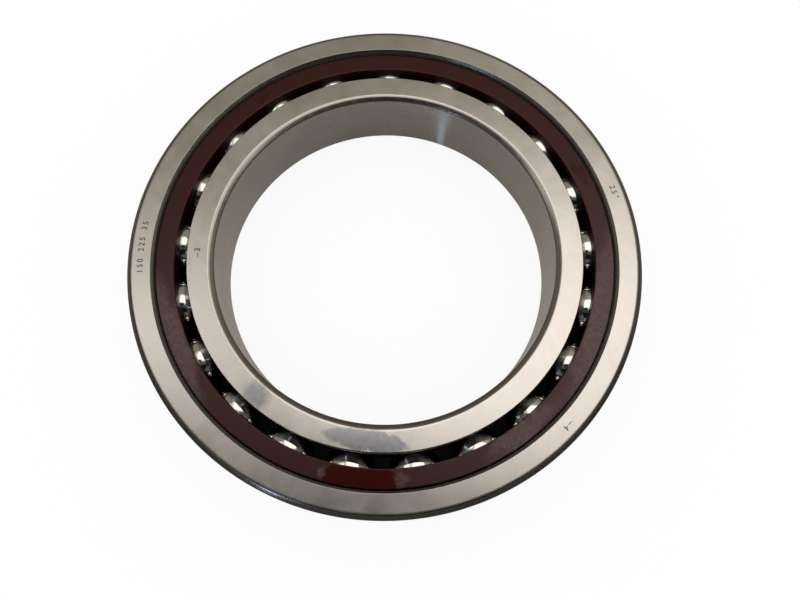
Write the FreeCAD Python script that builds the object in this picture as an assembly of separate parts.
import FreeCAD, Part

import os
from math import cos, radians, sin, sqrt, tan

# Single row angular contact ball bearing: an outer ring with a high shoulder on one side and a
# counterbore on the other, an inner ring with two equal shoulders, a one piece machined cage
# that runs on the outer ring's high shoulder, and a full set of balls in its pockets.
#
# Frame: millimetres, Z is the bearing's axis, and Z = 0 is the front face, which the bearing
# lies on. Thrust goes in at the inner ring's front face, crosses the balls upwards and outwards
# along the contact angle, and goes out at the outer ring's back face, on top.
#
# Outlines are drawn in the plane of the axis as (radius, height) and turned about Z.

# ---- boundary dimensions -------------------------------------------------------------------
BORE_DIAMETER = 150.0
SECTION_HEIGHT = 37.5  # from the bore to the outside surface, along a radius
WIDTH = 35.0
OPEN_SIDE_CORNER = 1.0  # outside corner of the outer ring on the counterbored side

# ---- mounting corners, which clear the fillets of a shaft or a housing -------------------------
MOUNTING_CORNER = 2.1  # along the axis, from the face to where the wall is straight
MOUNTING_CHAMFER_ANGLE = 38.0  # degrees from the face
MOUNTING_FACE_BLEND = 2.8  # radius between the chamfer and the face
MOUNTING_WALL_BLEND = 1.0  # radius between the chamfer and the bore or the outside surface

# ---- balls and raceways --------------------------------------------------------------------
BALL_DIAMETER = 22.225  # 7/8 inch
BALL_COUNT = 21
FIRST_BALL_AZIMUTH = 90.6  # degrees from +X
CONTACT_ANGLE = 25.0  # degrees from the radial plane
CONTACT_GAP = 0.1  # between a ball and each raceway, along the contact line
INNER_GROOVE_EASE = 0.45  # how much larger the inner groove's radius is than a ball's
OUTER_GROOVE_EASE = 0.67

# ---- shoulders, each measured from the bottom of its own groove ------------------------------
INNER_SHOULDER_HEIGHT = 4.1
OUTER_SHOULDER_HEIGHT = 3.9  # the high one, which takes the thrust and guides the cage
LIP_HEIGHT = 0.8  # the low one, which keeps the balls in on the counterbored side
COUNTERBORE_FLARE = 0.6  # how much wider, along a radius, the counterbore is at the face
INNER_LAND_CORNER = 0.45
OUTER_LAND_CHAMFER = 1.0  # at 45 degrees
OUTER_LAND_BLEND = 0.3
COUNTERBORE_CORNER = 0.5

# ---- cage ----------------------------------------------------------------------------------
CAGE_THICKNESS = 8.0  # along a radius
CAGE_RECESS = 2.1  # from each ring face down to the cage's own end face
CAGE_CORNER = 0.45
GUIDE_CLEARANCE = 0.65  # along a radius, between the cage and the outer ring's high shoulder
POCKET_CLEARANCE = 0.3  # all round a ball

# ---- worked out from the sizes above ---------------------------------------------------------
BORE_RADIUS = BORE_DIAMETER / 2
OUTSIDE_RADIUS = BORE_RADIUS + SECTION_HEIGHT
PITCH_RADIUS = BORE_RADIUS + SECTION_HEIGHT / 2
BALL_RADIUS = BALL_DIAMETER / 2
MID_HEIGHT = WIDTH / 2
POCKET_RADIUS = BALL_RADIUS + POCKET_CLEARANCE
INNER_GROOVE_RADIUS = BALL_RADIUS + INNER_GROOVE_EASE
OUTER_GROOVE_RADIUS = BALL_RADIUS + OUTER_GROOVE_EASE


def groove_centre(ease, side):
    """Centre of a groove's arc, on the contact line. Side is 1 for the outer ring, -1 inner.

    The outer ring touches a ball above its middle, so the centre of its groove is below and
    inside the ball's centre. The inner ring is the other way up.
    """
    offset = side * (ease - CONTACT_GAP)
    radius = PITCH_RADIUS - offset * cos(radians(CONTACT_ANGLE))
    height = MID_HEIGHT - offset * sin(radians(CONTACT_ANGLE))
    return radius, height


INNER_GROOVE = groove_centre(INNER_GROOVE_EASE, -1)
OUTER_GROOVE = groove_centre(OUTER_GROOVE_EASE, 1)
INNER_GROOVE_BOTTOM = INNER_GROOVE[0] - INNER_GROOVE_RADIUS
OUTER_GROOVE_BOTTOM = OUTER_GROOVE[0] + OUTER_GROOVE_RADIUS
INNER_LAND_RADIUS = INNER_GROOVE_BOTTOM + INNER_SHOULDER_HEIGHT
OUTER_LAND_RADIUS = OUTER_GROOVE_BOTTOM - OUTER_SHOULDER_HEIGHT
LIP_RADIUS = OUTER_GROOVE_BOTTOM - LIP_HEIGHT
CAGE_OUTER_RADIUS = OUTER_LAND_RADIUS - GUIDE_CLEARANCE
CAGE_INNER_RADIUS = CAGE_OUTER_RADIUS - CAGE_THICKNESS


def in_plane(radius, height):
    """A point of an outline, in the plane that is turned about Z."""
    return FreeCAD.Vector(radius, 0, height)


def rounding(before, corner, after, size):
    """Start, middle and end of the arc of radius size that rounds a corner of an outline."""
    to_before = (before - corner).normalize()
    to_after = (after - corner).normalize()
    half_angle = to_before.getAngle(to_after) / 2
    to_centre = (to_before + to_after).normalize()
    run = size * cos(half_angle) / sin(half_angle)
    depth = size / sin(half_angle) - size
    return corner + to_before * run, corner + to_centre * depth, corner + to_after * run


def turned(outline):
    """The solid that a closed outline makes when it is turned about Z.

    Each entry is (radius, height, corner radius). An entry that says "groove" in place of a
    corner radius is the bottom of a groove: one arc runs through it from the entry before it
    to the entry after it.
    """
    points = [in_plane(radius, height) for radius, height, _ in outline]
    corners = [corner for _, _, corner in outline]
    starts, ends, edges = list(points), list(points), []
    for i, corner in enumerate(corners):
        if corner != "groove" and corner > 0:
            after = points[(i + 1) % len(points)]
            starts[i], middle, ends[i] = rounding(points[i - 1], points[i], after, corner)
            edges.append(Part.Arc(starts[i], middle, ends[i]).toShape())
    for i, corner in enumerate(corners):
        following = (i + 1) % len(points)
        if corner == "groove":
            edges.append(Part.Arc(ends[i - 1], points[i], starts[following]).toShape())
        elif corners[following] != "groove":
            edges.append(Part.LineSegment(ends[i], starts[following]).toShape())
    wire = Part.Wire(Part.__sortEdges__(edges))
    return Part.Face(wire).revolve(in_plane(0, 0), FreeCAD.Vector(0, 0, 1), 360)


def mounting_chamfer(wall_radius, face_height, side):
    """Entries for one mounting corner, the wall's first. Side is 1 where the wall is a bore.

    The blend between chamfer and wall takes up the last of the corner's length, so the chamfer
    itself starts that much nearer to the face.
    """
    blend_run = MOUNTING_WALL_BLEND * tan(radians(90 - MOUNTING_CHAMFER_ANGLE) / 2)
    depth = MOUNTING_CORNER - blend_run
    run = depth / tan(radians(MOUNTING_CHAMFER_ANGLE))
    wall_height = depth if face_height == 0 else face_height - depth
    return [
        (wall_radius, wall_height, MOUNTING_WALL_BLEND),
        (wall_radius + side * run, face_height, MOUNTING_FACE_BLEND),
    ]


def groove_edge(centre, groove_radius, land_radius, side):
    """Height where a groove meets a land. Side is 1 for its upper edge and -1 for its lower."""
    return centre[1] + side * sqrt(groove_radius ** 2 - (land_radius - centre[0]) ** 2)


def inner_ring():
    """Ring with a shoulder of the same height on each side of its groove."""
    upper = groove_edge(INNER_GROOVE, INNER_GROOVE_RADIUS, INNER_LAND_RADIUS, 1)
    lower = groove_edge(INNER_GROOVE, INNER_GROOVE_RADIUS, INNER_LAND_RADIUS, -1)
    return turned([
        *mounting_chamfer(BORE_RADIUS, 0, 1),
        (INNER_LAND_RADIUS, 0, INNER_LAND_CORNER),
        (INNER_LAND_RADIUS, lower, 0),
        (INNER_GROOVE_BOTTOM, INNER_GROOVE[1], "groove"),
        (INNER_LAND_RADIUS, upper, 0),
        (INNER_LAND_RADIUS, WIDTH, INNER_LAND_CORNER),
        *reversed(mounting_chamfer(BORE_RADIUS, WIDTH, 1)),
    ])


def outer_ring():
    """Ring with a high shoulder on top, and a low lip and a flared counterbore below."""
    upper = groove_edge(OUTER_GROOVE, OUTER_GROOVE_RADIUS, OUTER_LAND_RADIUS, 1)
    lower = groove_edge(OUTER_GROOVE, OUTER_GROOVE_RADIUS, LIP_RADIUS, -1)
    return turned([
        (OUTSIDE_RADIUS, 0, OPEN_SIDE_CORNER),
        *mounting_chamfer(OUTSIDE_RADIUS, WIDTH, -1),
        (OUTER_LAND_RADIUS + OUTER_LAND_CHAMFER, WIDTH, OUTER_LAND_BLEND),
        (OUTER_LAND_RADIUS, WIDTH - OUTER_LAND_CHAMFER, OUTER_LAND_BLEND),
        (OUTER_LAND_RADIUS, upper, 0),
        (OUTER_GROOVE_BOTTOM, OUTER_GROOVE[1], "groove"),
        (LIP_RADIUS, lower, 0),
        (LIP_RADIUS + COUNTERBORE_FLARE, 0, COUNTERBORE_CORNER),
    ])


def outwards(index):
    """Direction from the axis towards ball number index, counted from 0."""
    azimuth = radians(FIRST_BALL_AZIMUTH + 360.0 * index / BALL_COUNT)
    return FreeCAD.Vector(cos(azimuth), sin(azimuth), 0)


def ball_centre(index):
    """Middle of ball number index, and of its pocket."""
    return outwards(index) * PITCH_RADIUS + FreeCAD.Vector(0, 0, MID_HEIGHT)


def ball(index):
    """Ball number index. Its poles lie on the line it spins about, square to its contact line."""
    tilt = radians(CONTACT_ANGLE)
    spin_line = FreeCAD.Vector(0, 0, cos(tilt)) - outwards(index) * sin(tilt)
    return Part.makeSphere(BALL_RADIUS, ball_centre(index), spin_line)


def cage():
    """One ring with a round pocket drilled straight through it for each ball."""
    lower, upper = CAGE_RECESS, WIDTH - CAGE_RECESS
    ring = turned([
        (CAGE_INNER_RADIUS, lower, CAGE_CORNER),
        (CAGE_OUTER_RADIUS, lower, CAGE_CORNER),
        (CAGE_OUTER_RADIUS, upper, CAGE_CORNER),
        (CAGE_INNER_RADIUS, upper, CAGE_CORNER),
    ])
    drill_reach = BALL_DIAMETER  # from a ball's middle, inwards and outwards, past both walls
    drills = []
    for index in range(BALL_COUNT):
        start = ball_centre(index) - outwards(index) * drill_reach
        drills.append(Part.makeCylinder(POCKET_RADIUS, 2 * drill_reach, start, outwards(index)))
    return ring.cut(drills)


def save(name, shape):
    """Writes one node, and says how big it is."""
    solids = shape.Solids
    node = solids[0] if len(solids) == 1 else Part.makeCompound(solids)
    node.exportStep(f"parts/{name}.step")
    print(f"{name}: {len(solids)} solid, {node.Volume / 1000:.2f} cm3, valid {node.isValid()}")


os.makedirs("parts", exist_ok=True)
save("outer_ring", outer_ring())
save("inner_ring", inner_ring())
save("cage", cage())
for index in range(BALL_COUNT):
    save(f"ball_{index + 1:02d}", ball(index))

web = 2 * CAGE_INNER_RADIUS * sin(radians(180.0 / BALL_COUNT)) - 2 * POCKET_RADIUS
print(f"inner land {INNER_LAND_RADIUS:.2f}, outer land {OUTER_LAND_RADIUS:.2f}, "
      f"lip {LIP_RADIUS:.2f}, cage {CAGE_INNER_RADIUS:.2f} to {CAGE_OUTER_RADIUS:.2f}, "
      f"thinnest web between pockets {web:.2f}")
